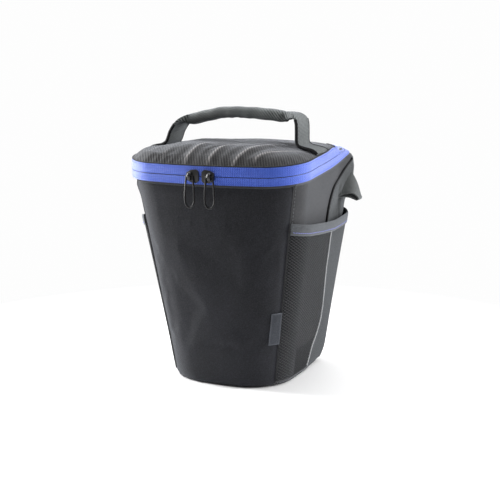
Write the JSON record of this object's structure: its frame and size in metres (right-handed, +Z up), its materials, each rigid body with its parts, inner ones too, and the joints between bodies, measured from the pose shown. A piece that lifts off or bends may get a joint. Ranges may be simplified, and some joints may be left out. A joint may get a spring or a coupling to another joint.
{
  "type": "camera holster bag",
  "caption": "Padded top-loading holster bag for a reflex camera, with a zipped hinged lid, carrying handle, side net pockets and belt loop.",
  "frame": {"origin": "on the floor under the middle of the tub", "axes": "+Z up, front (zip sliders) towards -Y, +X to the right as seen from the front"},
  "size_m": [0.1988, 0.1737, 0.2535],
  "materials": {
    "charcoal_fabric": "speckled woven polyester",
    "grey_fabric": "woven polyester",
    "back_fabric": "woven polyester",
    "base_fabric": "coated base fabric",
    "foam": "closed-cell foam",
    "lining_fabric": "brushed lining",
    "black_binding": "ribbed binding",
    "mesh_fabric": "fine net",
    "gusset_fabric": "woven polyester",
    "elastic_binding": "elastic binding",
    "webbing": "woven webbing",
    "label_fabric": "plain woven tab",
    "blue_tape": "woven zip tape",
    "zip_nylon": "moulded nylon",
    "lid_fabric": "ribbed fabric",
    "handle_twill": "ribbed twill",
    "slider_black": "black enamel",
    "wire_metal": "gunmetal wire"
  },
  "bodies": {
    "bag": {"front_panel": "charcoal_fabric", "side_panel_left": "grey_fabric", "side_panel_right": "grey_fabric", "back_panel": "back_fabric", "base_panel": "base_fabric", "foam_front": "foam", "foam_left": "foam", "foam_right": "foam", "foam_back": "foam", "foam_base": "foam", "lining": "lining_fabric", "rear_wing_left": "grey_fabric", "rear_wing_right": "grey_fabric", "piping_left": "black_binding", "piping_right": "black_binding", "pocket_mesh_left": "mesh_fabric", "pocket_mesh_right": "mesh_fabric", "pocket_gusset_left": "gusset_fabric", "pocket_gusset_right": "gusset_fabric", "pocket_binding_left": "elastic_binding", "pocket_binding_right": "elastic_binding", "strap_ear_left": "webbing", "strap_ear_right": "webbing", "belt_loop": "webbing", "label_tab": "label_fabric", "zip_tape_lower": "blue_tape", "zip_teeth_lower": "zip_nylon", "hinge_strip_lower": "black_binding"},
    "lid": {"lid_top": "lid_fabric", "lid_foam": "foam", "lid_lining": "lining_fabric", "zip_tape_upper": "blue_tape", "zip_teeth_upper": "zip_nylon", "hinge_strip_upper": "black_binding", "handle_tab_left": "webbing", "handle_tab_right": "webbing"},
    "handle": {"handle_strap": "handle_twill", "handle_grip": "handle_twill", "handle_core": "foam"},
    "slider_left": {"slider_left": "slider_black"},
    "slider_right": {"slider_right": "slider_black"},
    "pull_left": {"zip_pull_left": "wire_metal"},
    "pull_right": {"zip_pull_right": "wire_metal"}
  },
  "joints": [
    {"name": "lid_hinge", "type": "hinge", "parent": "bag", "child": "lid", "pos_m": [0, 0.0639, 0.21443], "axis": [-1, 0, 0], "range_deg": [0, 110]},
    {"name": "handle_swing", "type": "hinge", "parent": "lid", "child": "handle", "pos_m": [0, -0.017, 0.22664], "axis": [1, 0, 0], "range_deg": [-20, 20]},
    {"name": "slider_right_run", "type": "hinge", "parent": "bag", "child": "slider_right", "pos_m": [0, 0.3615, 0.25219], "axis": [0, -0.124, 0.9923], "range_deg": [0, 5]},
    {"name": "slider_left_run", "type": "hinge", "parent": "bag", "child": "slider_left", "pos_m": [0, 0.3615, 0.25219], "axis": [0, -0.124, 0.9923], "range_deg": [-5, 0]},
    {"name": "pull_right_swing", "type": "hinge", "parent": "slider_right", "child": "pull_right", "pos_m": [0.00752, -0.09254, 0.19595], "axis": [-0.9999, -0.0163, -0.002], "range_deg": [-3, 150]},
    {"name": "pull_left_swing", "type": "hinge", "parent": "slider_left", "child": "pull_left", "pos_m": [-0.00752, -0.09254, 0.19595], "axis": [-0.9999, 0.0163, 0.002], "range_deg": [-3, 150]}
  ]
}
